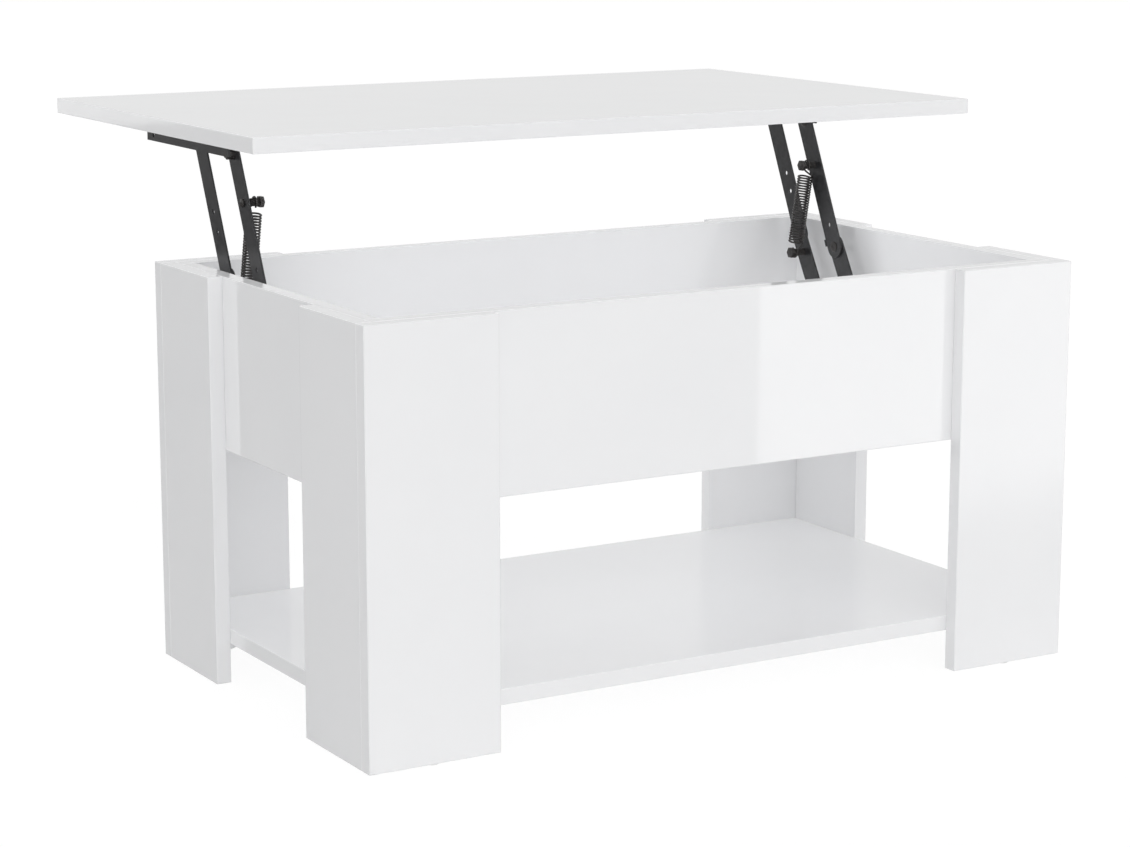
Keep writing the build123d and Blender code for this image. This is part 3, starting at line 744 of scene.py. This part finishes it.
# %% Mix the small finishes
# For each: two tones, grains in a metre, roughness from and to, metallic, and relief.
SMALL_FINISHES = {
    "zinc_plate": (
        ((0.62, 0.63, 0.66), (0.50, 0.51, 0.55)),
        300.0,
        (0.24, 0.42),
        1.0,
        0.00005,
    ),
    "black_oxide": (
        ((0.030, 0.029, 0.030), (0.062, 0.057, 0.053)),
        700.0,
        (0.26, 0.40),
        0.35,
        0.00003,
    ),
    "beech": (
        ((0.62, 0.42, 0.24), (0.50, 0.32, 0.17)),
        900.0,
        (0.5, 0.65),
        0.0,
        0.0001,
    ),
    "nylon_glide": (
        ((0.80, 0.80, 0.79), (0.72, 0.72, 0.71)),
        500.0,
        (0.38, 0.5),
        0.0,
        0.00004,
    ),
}
GRAIN_STRETCH = {"beech": (1, 0.12, 1)}
# Where the grain starts to show its second tone, and where it shows it in full.
GRAIN_RANGE = (0.3, 0.7)
GRAIN_RELIEF_STRENGTH = 0.5


def small_finish(name, tones, grains, rough, metallic, relief):
    """A two-tone finish with its own grain, which may be stretched one way."""
    material = new_material(name)
    tree = material.node_tree
    stretched = tree.nodes.new("ShaderNodeMapping")
    stretched.inputs["Scale"].default_value = GRAIN_STRETCH.get(name, (1, 1, 1))
    tree.links.new(object_place(tree), stretched.inputs["Vector"])
    grain = noise(tree, stretched.outputs[0], grains, detail=4.0, rough=0.6)
    colour = mix_colour(tree, spread(tree, grain, *GRAIN_RANGE, 0.0, 1.0), *tones)
    rough = spread(tree, grain, *GRAIN_RANGE, *rough)
    shader = finish(tree, colour, rough, grain, relief, GRAIN_RELIEF_STRENGTH)
    shader["Metallic"].default_value = metallic
    return material


finishes = {}
for name, values in SMALL_FINISHES.items():
    finishes[name] = small_finish(name, *values)
print("finishes:", *finishes)

# %% [markdown]
# The screws, the cam bolts and the dowels are hidden in the boards or seen from afar.
# Their solids are good enough as they are, and only get their finish.

# %% Dress the screws and the dowels
dressed_in = {
    "zinc_plate": [
        "hanger_screws",
        "bracket_screws",
        "leg_screws",
        "box_corner_screws",
        "box_floor_screws",
        "shelf_cam_bolts",
    ],
    "beech": ["leg_dowels", "shelf_dowels"],
}
for finish_name, names in dressed_in.items():
    for name in names:
        dress(name, finishes[finish_name])
    print(finish_name, "on", len(names), "pieces")

# %% [markdown]
# ## The lift springs
# Each spring is one length of wire: a close coil whose end turns are bent up into hooks
# over the bolts. It is made with its axis upright and the lower bolt at the origin, and
# then leaned over into place.
#
# The coil is a circle of wire spun round the axis, with a small step along it each
# time. A Screw modifier could do it too, but here the run between the bolts sets the
# rise.

# %% Wind the coil
WIRE = 0.0024
WIRE_SIDES = 14
COIL_MEAN = 0.0093
COIL_TURNS = 26
STEPS_IN_A_TURN = 28
HOOK_REACH = 0.0145
UPRIGHT = (0, 0, 1)

spring_run = upper_bolt - lower_bolt
coil_run = spring_run.length - 2 * HOOK_REACH


def spin(bm, geom, centre, axis, steps, turns=1, rise=0.0):
    """Spin parts round an axis through centre, moving them along it by the rise."""
    # Only a spin that comes back to its start is merged there.
    bmesh.ops.spin(
        bm,
        geom=geom,
        cent=centre,
        axis=axis,
        dvec=Vector(axis) * (rise / steps),
        angle=2 * pi * turns,
        steps=steps,
        use_merge=not rise,
        use_duplicate=False,
    )


def wind_coil():
    """A closed coil of wire round the upright axis."""
    bm = bmesh.new()
    ring = bmesh.ops.create_circle(bm, segments=WIRE_SIDES, radius=WIRE / 2)["verts"]
    bmesh.ops.rotate(bm, matrix=Matrix.Rotation(radians(90), 3, "X"), verts=ring)
    bmesh.ops.translate(bm, vec=(COIL_MEAN, 0, HOOK_REACH), verts=ring)
    steps = COIL_TURNS * STEPS_IN_A_TURN
    parts = ring + bm.edges[:]
    spin(bm, parts, (0, 0, 0), UPRIGHT, steps, COIL_TURNS, rise=coil_run)
    open_ends = [edge for edge in bm.edges if edge.is_boundary]
    bmesh.ops.holes_fill(bm, edges=open_ends, sides=WIRE_SIDES)
    return bm


print("coil of", COIL_TURNS, "turns over", round(coil_run * 1000, 1), "mm")

# %% [markdown]
# A hook leaves the coil's last turn, crosses to the middle and goes round the bolt. No
# spin follows such a way, so it is a smooth curve with the wire's thickness. Its first
# points are listed, and the eye round the bolt is worked out from angles. The upper hook
# is the lower one turned end for end.

# %% Bend the hooks
EYE = 0.00625
EYE_WIDE = 1.05
EYE_POINTS = 9
EYE_FIRST_ANGLE = -10
EYE_ANGLE_STEP = -27.5
# Points from the coil to the eye, with the bolt at the origin.
HOOK_START = [
    (COIL_MEAN, 0.0012, HOOK_REACH),
    (COIL_MEAN, -0.0022, HOOK_REACH - 0.0002),
    (COIL_MEAN * 0.86, -0.0050, HOOK_REACH - 0.0014),
    (COIL_MEAN * 0.42, -0.0062, HOOK_REACH - 0.0042),
    (0.0006, -EYE * 1.04, HOOK_REACH - 0.0078),
    (0, -EYE, 0.0035),
]

near_way = [Vector(point) for point in HOOK_START]
for step in range(EYE_POINTS):
    angle = radians(EYE_FIRST_ANGLE + step * EYE_ANGLE_STEP)
    across, up = -EYE * cos(angle) * EYE_WIDE, EYE * EYE_WIDE * sin(angle)
    near_way.append(Vector((0, across, up)))
far_way = [Vector((p.x, -p.y, spring_run.length - p.z)) for p in near_way]


def wire_curve(points, name):
    """A mesh of round wire along a smooth curve."""
    data = bpy.data.curves.new(name, "CURVE")
    data.dimensions = "3D"
    data.bevel_depth = WIRE / 2
    data.bevel_resolution = 5
    data.use_fill_caps = True
    spline = data.splines.new("NURBS")
    spline.points.add(len(points) - 1)
    for place, point in zip(spline.points, points):
        place.co = (*point, 1)
    spline.use_endpoint_u = True
    spline.order_u = 4
    spline.resolution_u = 8
    holder = add_object(name, data)
    bpy.context.view_layer.update()
    mesh = bpy.data.meshes.new_from_object(holder)
    bpy.data.objects.remove(holder)
    return mesh


print("each hook follows", len(near_way), "points")

# %% [markdown]
# A finished shape becomes a piece: it rides on a body of the mechanism, and stands for
# the simple solid that held its place. Round metal is shaded smooth, and edges sharper
# than the crease angle stay crisp. A spring is smooth all along, so it has no crease.

# %% Put the springs in
CREASE_DEGREES = 35


def flip(bm, points, faces):
    """Turn a right-hand shape into the left-hand one."""
    bmesh.ops.scale(bm, vec=(-1, 1, 1), verts=points)
    bmesh.ops.reverse_faces(bm, faces=faces)
    return bm


def add_piece(name, bm, finish_name, body, slot, *stands_for, crease=CREASE_DEGREES):
    """Put a bmesh in the scene as a piece that rides on a body."""
    mesh = finished_mesh(name, bm)
    mesh.shade_smooth()
    if crease:
        mesh.set_sharp_from_angle(angle=radians(crease))
    mesh.materials.append(finishes[finish_name])
    piece = add_object(name, mesh)
    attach(piece, body)
    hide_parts(*stands_for)
    triangles = sum(len(polygon.vertices) - 2 for polygon in mesh.polygons)
    print(name, triangles, "triangles")


def wind_spring():
    """The right-hand spring in its place."""
    bm = wind_coil()
    bm.from_mesh(wire_curve(near_way, "near_hook"))
    bm.from_mesh(wire_curve(far_way, "far_hook"))
    bmesh.ops.recalc_face_normals(bm, faces=bm.faces)
    lean = Vector(UPRIGHT).rotation_difference(spring_run).to_matrix()
    bmesh.ops.rotate(bm, matrix=lean, verts=bm.verts)
    foot = lower_bolt + Vector(((spring_low.x + spring_high.x) / 2, 0, 0))
    bmesh.ops.translate(bm, vec=foot, verts=bm.verts)
    return bm


spring_low, spring_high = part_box("lift_spring_right")
for word in ("right", "left"):
    bm = wind_spring()
    if word == "left":
        flip(bm, bm.verts, bm.faces)
    add_piece(
        f"wound_spring_{word}",
        bm,
        "black_oxide",
        f"spring_{word}",
        "spring_wire",
        f"lift_spring_{word}",
        crease=None,
    )

# %% [markdown]
# ## Rivets
# Each pivot is a shouldered rivet: a stem through both plates, a low domed head with
# the dimple of the riveting tool, and a collar where two plates stand apart. Every
# length along it comes from the plates' own faces, so the heads sit where the plates
# are.

# %% Measure the plates
PLATE_PLAY = 0.00015

front_arm_low, front_arm_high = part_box("front_arm_right")
rear_arm_low, rear_arm_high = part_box("rear_arm_right")
hanger_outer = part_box("top_hanger_right")[1].x
plate = front_arm_high.x - front_arm_low.x
slide = (front_arm_low.x - rear_arm_high.x - plate) / 2
ear_inner = rear_arm_high.x + slide
ear_outer = front_arm_low.x - slide
print("plate", round(plate * 1000, 3), "mm, slide gap", round(slide * 1000, 3), "mm")

# %% [markdown]
# All of a rivet is round, so one profile spun round the pivot's line makes it. The same
# spin will turn the bolts, the cams and the glides. The mechanism is the same on both
# sides, so where both sides ride on one body, a piece holds a shape and its twin.

# %% Turn round shapes
ROUND_STEPS = 40
MERGE_DISTANCE = 1e-6


def turn(bm, profile, centre, axis, steps, turns=1, rise=0.0):
    """Spin a profile of (x, z) pairs round an axis through centre."""
    points = [bm.verts.new(centre + Vector((x, 0, z))) for x, z in profile]
    line = [bm.edges.new(pair) for pair in zip(points, points[1:])]
    spin(bm, points + line, centre, axis, steps, turns, rise)


def close(bm):
    """Merge the doubles of a spun shape and point its faces outwards."""
    bmesh.ops.remove_doubles(bm, verts=bm.verts, dist=MERGE_DISTANCE)
    bmesh.ops.recalc_face_normals(bm, faces=bm.faces)
    return bm


def points_of(parts):
    """The points among the parts that a bmesh operator returns."""
    return [part for part in parts if isinstance(part, bmesh.types.BMVert)]


def both_sides(bm):
    """Add the left-hand copy of a shape."""
    whole = bm.verts[:] + bm.edges[:] + bm.faces[:]
    twin = bmesh.ops.duplicate(bm, geom=whole)["geom"]
    faces = [part for part in twin if isinstance(part, bmesh.types.BMFace)]
    return flip(bm, points_of(twin), faces)


print("round shapes have", ROUND_STEPS, "sides")

# %% [markdown]
# The head's dome is a short list of shares of its height and radius. A rivet points
# outwards or inwards, depending on which side of the plates its head is.

# %% Turn the rivets
ALONG_X = (1, 0, 0)
STEM_RADIUS = 0.0040
COLLAR_RADIUS = 0.0065
HEAD_RADIUS = 0.0070
HEAD_HEIGHT = 0.0014
HEAD_DOME = [
    (0.4, 1.0),
    (0.72, 0.95),
    (0.93, 0.82),
    (1.0, 0.6),
    (1.0, 0.3),
    (0.72, 0.18),
    (0.66, 0),
]


def rivet(pivot, start, seat, collar=None):
    """A rivet from the plate face at start to the arm face at seat, under its head."""
    way = 1 if seat > start else -1
    head = seat + way * PLATE_PLAY
    profile = [(start, 0), (start, STEM_RADIUS)]
    if collar:
        profile += [(collar[0], STEM_RADIUS), (collar[0], COLLAR_RADIUS)]
        profile += [(collar[1], COLLAR_RADIUS), (collar[1], STEM_RADIUS)]
    profile += [(head, STEM_RADIUS), (head, HEAD_RADIUS)]
    for rise, radius in HEAD_DOME:
        profile.append((head + way * HEAD_HEIGHT * rise, HEAD_RADIUS * radius))
    bm = bmesh.new()
    turn(bm, profile, Vector((0, pivot.y, pivot.z)), ALONG_X, ROUND_STEPS)
    return both_sides(close(bm))


hanger_inner = hanger_outer - plate
front_collar = (hanger_inner, front_arm_high.x + PLATE_PLAY)
rear_collar = (hanger_inner, rear_arm_high.x + PLATE_PLAY)
# For each: its pivot, the faces it runs between, its collar, and its body.
rivets = {
    "front_lower": (front_low, ear_inner, front_arm_high.x, None, "carcass"),
    "rear_lower": (rear_low, ear_outer, rear_arm_low.x, None, "carcass"),
    "front_upper": (front_high, hanger_outer, front_arm_low.x, front_collar, "top"),
    "rear_upper": (rear_high, hanger_outer, rear_arm_low.x, rear_collar, "top"),
}
for name, (*measures, body) in rivets.items():
    bm = rivet(*measures)
    add_piece(f"{name}_rivets", bm, "black_oxide", body, "black_steel", f"{name}_pins")

# %% [markdown]
# ## Spring bolts
# The springs hang on hexagon bolts that stand out from the plates, threaded all the
# way. A thread is one tooth spun round the bolt while it moves along by its own pitch:
# the last point of each turn lands on the first point of the next, and merging them
# closes it.

# %% Cut the thread
BOLT_RADIUS = 0.0050
BOLT_ROOT = 0.0043
BOLT_PITCH = 0.00125
THREAD_STEPS = 24
# One tooth: shares of the pitch along the bolt, and the radius there.
TOOTH = [
    (0, BOLT_RADIUS),
    (0.12, BOLT_RADIUS),
    (0.5, BOLT_ROOT),
    (0.62, BOLT_ROOT),
    (1, BOLT_RADIUS),
]


def thread(bm, start, length, centre):
    """A thread along X, with a whole number of turns in its length."""
    turns = round(length / BOLT_PITCH)
    pitch = length / turns
    tooth = [(start + along * pitch, radius) for along, radius in TOOTH]
    steps = turns * THREAD_STEPS
    turn(bm, tooth, centre, ALONG_X, steps, turns, rise=length - pitch)


print("thread of", BOLT_PITCH * 1000, "mm pitch")

# %% [markdown]
# Heads and nuts are six-sided circles, extruded. A bevel on the edges of their two flat
# ends takes the sharpness off. A bevel on every edge would also round the six corners,
# where a spanner grips.

# %% Cut the hexagons
SAME_PLACE = 1e-7
BEVEL_SEGMENTS = 3


def hexagon(bm, across, thick, start, centre, rounding):
    """A hexagon block along X from start, its outer rims bevelled."""
    radius = across / 2 / cos(pi / 6)
    made = bmesh.ops.create_circle(bm, segments=6, radius=radius, cap_ends=True)
    ring = made["verts"]
    bmesh.ops.rotate(bm, matrix=Matrix.Rotation(radians(90), 3, "Y"), verts=ring)
    bmesh.ops.translate(bm, vec=(start, centre.y, centre.z), verts=ring)
    face = next(face for face in bm.faces if set(face.verts) == set(ring))
    pushed = bmesh.ops.extrude_face_region(bm, geom=[face], use_keep_orig=True)
    far = points_of(pushed["geom"])
    bmesh.ops.translate(bm, vec=(thick, 0, 0), verts=far)
    rims = {
        edge
        for point in ring + far
        for edge in point.link_edges
        if abs(edge.verts[0].co.x - edge.verts[1].co.x) < SAME_PLACE
    }
    bmesh.ops.bevel(
        bm,
        geom=list(rims),
        offset=rounding,
        segments=BEVEL_SEGMENTS,
        profile=0.5,
        affect="EDGES",
        material=-1,
        clamp_overlap=True,
    )


print("a hexagon's rim has", BEVEL_SEGMENTS, "bevel segments")

# %% [markdown]
# A bolt's head points into the box, and its slimmer tip goes through the plate and the
# thin nut behind it. All its parts are added to one bmesh, and one merge closes it.

# %% Shape the bolts and the nuts
HEAD_ACROSS = 0.0130
HEAD_THICK = 0.0060
HEAD_ROUNDING = 0.0007
TIP_RADIUS = 0.0030
TIP_PROUD = 0.0002
TIP_END_SHARE = 0.85
NUT_ACROSS = 0.0100
NUT_THICK = 0.0024
NUT_ROUNDING = 0.0004


bolt_length = rear_arm_low.x - bolt_low.x - HEAD_THICK
print("bolts stand out", round(bolt_length * 1000, 2), "mm under the head")


def spring_bolt(centre, seat):
    """A bolt whose head points into the box; seat is the inner face of its plate."""
    bm = bmesh.new()
    middle = Vector((0, centre.y, centre.z))
    head_face = seat - bolt_length
    tip = seat + plate + NUT_THICK + TIP_PROUD
    tip_edge = (tip - TIP_PROUD, TIP_RADIUS)
    thread(bm, head_face, bolt_length, middle)
    shank = [(seat, BOLT_ROOT), (seat, TIP_RADIUS), tip_edge]
    turn(bm, shank, middle, ALONG_X, ROUND_STEPS)
    end = [tip_edge, (tip, TIP_RADIUS * TIP_END_SHARE), (tip, 0)]
    turn(bm, end, middle, ALONG_X, ROUND_STEPS)
    head_start = head_face - HEAD_THICK
    hexagon(bm, HEAD_ACROSS, HEAD_THICK, head_start, centre, HEAD_ROUNDING)
    return close(bm)


def hexagon_nut(centre, seat):
    """A thin nut on the far face of the plate."""
    bm = bmesh.new()
    hexagon(bm, NUT_ACROSS, NUT_THICK, seat + plate, centre, NUT_ROUNDING)
    return close(bm)


# %% [markdown]
# The upper bolts swing with the rear arms, so each side has a piece of its own. The
# lower ones stay on the brackets, which are fixed to the box, so they are one piece.

# %% Put the bolts in
for word in ("right", "left"):
    for kind, shape in (("bolt", spring_bolt), ("nut", hexagon_nut)):
        bm = shape(upper_bolt, rear_arm_low.x)
        if word == "left":
            flip(bm, bm.verts, bm.faces)
        add_piece(
            f"upper_hexagon_{kind}_{word}",
            bm,
            "black_oxide",
            f"rear_arm_{word}",
            "spring_wire",
            f"upper_spring_{kind}_{word}",
        )
for kind, shape in (("bolts", spring_bolt), ("nuts", hexagon_nut)):
    add_piece(
        f"lower_hexagon_{kind}",
        both_sides(shape(lower_bolt, ear_inner)),
        "black_oxide",
        "carcass",
        "spring_wire",
        f"lower_spring_{kind}",
    )

# %% [markdown]
# ## Cam locks
# Under the shelf, four zinc cams draw it up to the legs. Each is a disc with a raised
# rim and a cross slot for the driver. The cross is cut into the flat disc by eight
# planes, and the faces between them are pushed in. A boolean would do it too, but it
# leaves long thin faces that are hard to shade.

# %% Press the cross slot
CAM_RADIUS = 0.0075
CAM_RIM_WIDTH = 0.0008
CAM_RIM_RISE = 0.0002
SLOT_HALF = 0.0007
SLOT_REACH = 0.0046
SLOT_DEPTH = 0.0030
DISC_STEPS = 48


def cross_face(bm, centre):
    """A flat disc with a cross pressed into it, facing down."""
    inner = CAM_RADIUS - CAM_RIM_WIDTH
    disc = bmesh.ops.create_circle(bm, segments=DISC_STEPS, radius=inner, cap_ends=True)
    bmesh.ops.translate(bm, vec=centre, verts=disc["verts"])

    def flat_faces():
        """The faces of the disc, each with its middle as seen from the centre."""
        pairs = [(face, face.calc_center_median() - centre) for face in bm.faces]
        return [(face, middle) for face, middle in pairs if abs(middle.z) < SAME_PLACE]

    for normal in ((1, 0, 0), (0, 1, 0)):
        for side in (-SLOT_HALF, SLOT_HALF, -SLOT_REACH, SLOT_REACH):
            flat = [face for face, _ in flat_faces()]
            edges = {edge for face in flat for edge in face.edges}
            points = {point for face in flat for point in face.verts}
            bmesh.ops.bisect_plane(
                bm,
                geom=[*points, *edges, *flat],
                plane_co=centre + Vector(normal) * side,
                plane_no=normal,
            )
    slot = []
    for face, middle in flat_faces():
        short, long = sorted((abs(middle.x), abs(middle.y)))
        if short < SLOT_HALF and long < SLOT_REACH:
            slot.append(face)
    pushed = bmesh.ops.extrude_face_region(bm, geom=slot)["geom"]
    bmesh.ops.delete(bm, geom=slot, context="FACES")
    bmesh.ops.translate(bm, vec=(0, 0, SLOT_DEPTH), verts=points_of(pushed))


print("slot", SLOT_DEPTH * 1000, "mm deep")

# %% [markdown]
# The rest of a cam is turned round an upright line. The shape is made once for each of
# its places and gathered in one mesh, because all four are one piece of the frame.

# %% Put the cams in
CAM_DEPTH = 0.0125


def cam(centre):
    """One cam, its rim at centre and its body up into the shelf."""
    bm = bmesh.new()
    face = centre + Vector((0, 0, CAM_RIM_RISE))
    inner = CAM_RADIUS - CAM_RIM_WIDTH
    back = CAM_DEPTH - CAM_RIM_RISE
    profile = [
        (inner, 0),
        (inner + CAM_RIM_RISE, -CAM_RIM_RISE),
        (CAM_RADIUS - CAM_RIM_RISE, -CAM_RIM_RISE),
        (CAM_RADIUS, 0),
        (CAM_RADIUS, back),
        (0, back),
    ]
    turn(bm, profile, face, UPRIGHT, DISC_STEPS)
    cross_face(bm, face)
    return close(bm)


def several(shape, centres):
    """The same shape at several places, in one bmesh."""
    whole = bmesh.new()
    for centre in centres:
        one = finished_mesh("one", shape(centre))
        whole.from_mesh(one)
        bpy.data.meshes.remove(one)
    return whole


shelf_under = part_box("lower_shelf")[0].z
cams_low, cams_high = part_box("shelf_cams")
cam_centres = [
    Vector((x, y, shelf_under))
    for x in (cams_low.x + CAM_RADIUS, cams_high.x - CAM_RADIUS)
    for y in (cams_low.y + CAM_RADIUS, cams_high.y - CAM_RADIUS)
]
cams = several(cam, cam_centres)
add_piece("cross_slot_cams", cams, "zinc_plate", "carcass", "zinc", "shelf_cams")

# %% [markdown]
# ## Glides
# The glides under the legs are domed nylon discs held by a nail whose head sits in a
# dish. They are turned like the cams, one under the middle of each leg board. Their
# dome is meant to look soft, so the crease angle is wider here.

# %% Put the glides in
GLIDE_CREASE_DEGREES = 50
GLIDE_RADIUS = 0.0075
GLIDE_HEIGHT = 0.0020
# The nail's head, the dish, the foot and the dome: pairs of radius and height.
GLIDE_PROFILE = [
    (0, 0.0006),
    (0.0014, 0.0005),
    (0.0020, 0.0001),
    (0.0034, 0),
    (0.0062, 0),
    (0.0071, 0.0004),
    (GLIDE_RADIUS, 0.0012),
    (GLIDE_RADIUS, GLIDE_HEIGHT),
    (0, GLIDE_HEIGHT),
]


def glide(centre):
    """One domed glide, its foot on the floor at centre."""
    bm = bmesh.new()
    turn(bm, GLIDE_PROFILE, centre, UPRIGHT, DISC_STEPS)
    return close(bm)


glide_centres = []
for leg in legs:
    leg_low, leg_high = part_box(leg)
    middle = (leg_low + leg_high) / 2
    glide_centres.append(Vector((middle.x, middle.y, 0)))
add_piece(
    "nailed_glides",
    several(glide, glide_centres),
    "nylon_glide",
    "carcass",
    "glide",
    "foot_glides",
    crease=GLIDE_CREASE_DEGREES,
)
